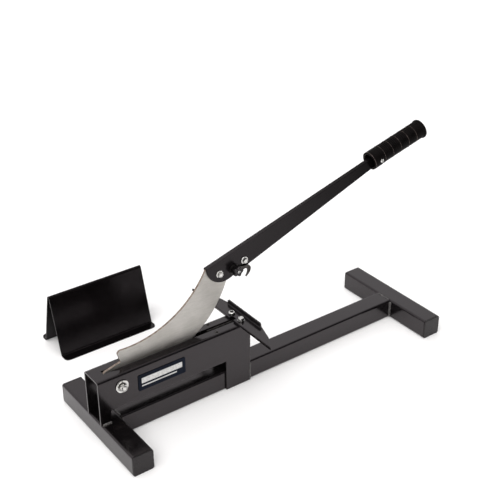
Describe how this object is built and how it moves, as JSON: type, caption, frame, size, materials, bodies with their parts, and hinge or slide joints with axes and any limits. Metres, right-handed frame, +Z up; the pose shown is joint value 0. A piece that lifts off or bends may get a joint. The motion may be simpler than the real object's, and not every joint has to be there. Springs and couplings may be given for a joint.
{
  "type": "floor-board guillotine cutter",
  "caption": "Long-lever guillotine for laminate floor boards: curved blade in a slotted housing on a tube frame, swivelling fence, and a loose folded board stand.",
  "frame": {"origin": "on the floor, centre of the front foot's underside", "axes": "+Z up, +X along the spine from the front foot to the rear foot and the grip, +Y to the far side, where the loose stand is"},
  "size_m": [0.7459, 0.4677, 0.4151],
  "materials": {
    "paint": "semi-gloss black powder coat",
    "black_plastic": "satin moulded",
    "zinc": "bright zinc plate",
    "dark_steel": "dull machined steel",
    "blade_steel": "satin ground",
    "label_blue": "plain printed plate"
  },
  "bodies": {
    "base": {"front_foot_tube": "paint", "rear_foot_tube": "paint", "spine_tube": "paint", "front_foot_cap_near": "black_plastic", "front_foot_cap_far": "black_plastic", "rear_foot_cap_near": "black_plastic", "rear_foot_cap_far": "black_plastic", "housing": "paint", "label_plate": "label_blue", "pivot_bolt": "zinc", "pivot_nut": "zinc", "pivot_washer_near": "zinc", "pivot_washer_far": "zinc", "pivot_spacer_near": "dark_steel", "pivot_spacer_far": "dark_steel", "blade_guide_near": "dark_steel", "blade_guide_far": "dark_steel", "guide_screw_near": "zinc", "guide_screw_far": "zinc", "fence_pivot_bolt": "zinc", "fence_clamp_bolt": "zinc", "fence_washer_near": "zinc", "fence_washer_far": "zinc", "fence_spacer_near": "zinc", "fence_spacer_far": "zinc"},
    "arm": {"lever": "paint", "blade": "blade_steel", "lever_bolt_front": "zinc", "lever_bolt_rear": "zinc", "lever_nut_front": "zinc", "lever_nut_rear": "zinc", "latch_stud": "zinc", "grip": "black_plastic", "grip_screw": "zinc"},
    "latch": {"latch_hook": "dark_steel"},
    "knob": {"latch_knob": "black_plastic"},
    "fence_body": {"fence": "paint"},
    "stand_body": {"stand": "paint"}
  },
  "joints": [
    {"name": "arm_pivot", "type": "hinge", "parent": "base", "child": "arm", "pos_m": [0.0237, 0, 0.1058], "axis": [0, 1, 0], "range_deg": [-45, 17]},
    {"name": "latch_turn", "type": "hinge", "parent": "arm", "child": "latch", "pos_m": [0.2713, -0.0066, 0.2408], "axis": [0, 1, 0], "range_deg": [0, 35]},
    {"name": "knob_turn", "type": "hinge", "parent": "arm", "child": "knob", "pos_m": [0.2713, -0.0138, 0.2408], "axis": [0, 1, 0], "continuous": true},
    {"name": "fence_swivel", "type": "hinge", "parent": "base", "child": "fence_body", "pos_m": [0.278, 0.013, 0.135], "axis": [0, 0, 1], "range_deg": [-3, 3]},
    {"name": "stand_slide", "type": "slide", "parent": "base", "child": "stand_body", "axis": [0, 1, 0], "range_m": [-0.2, 0.15]}
  ]
}
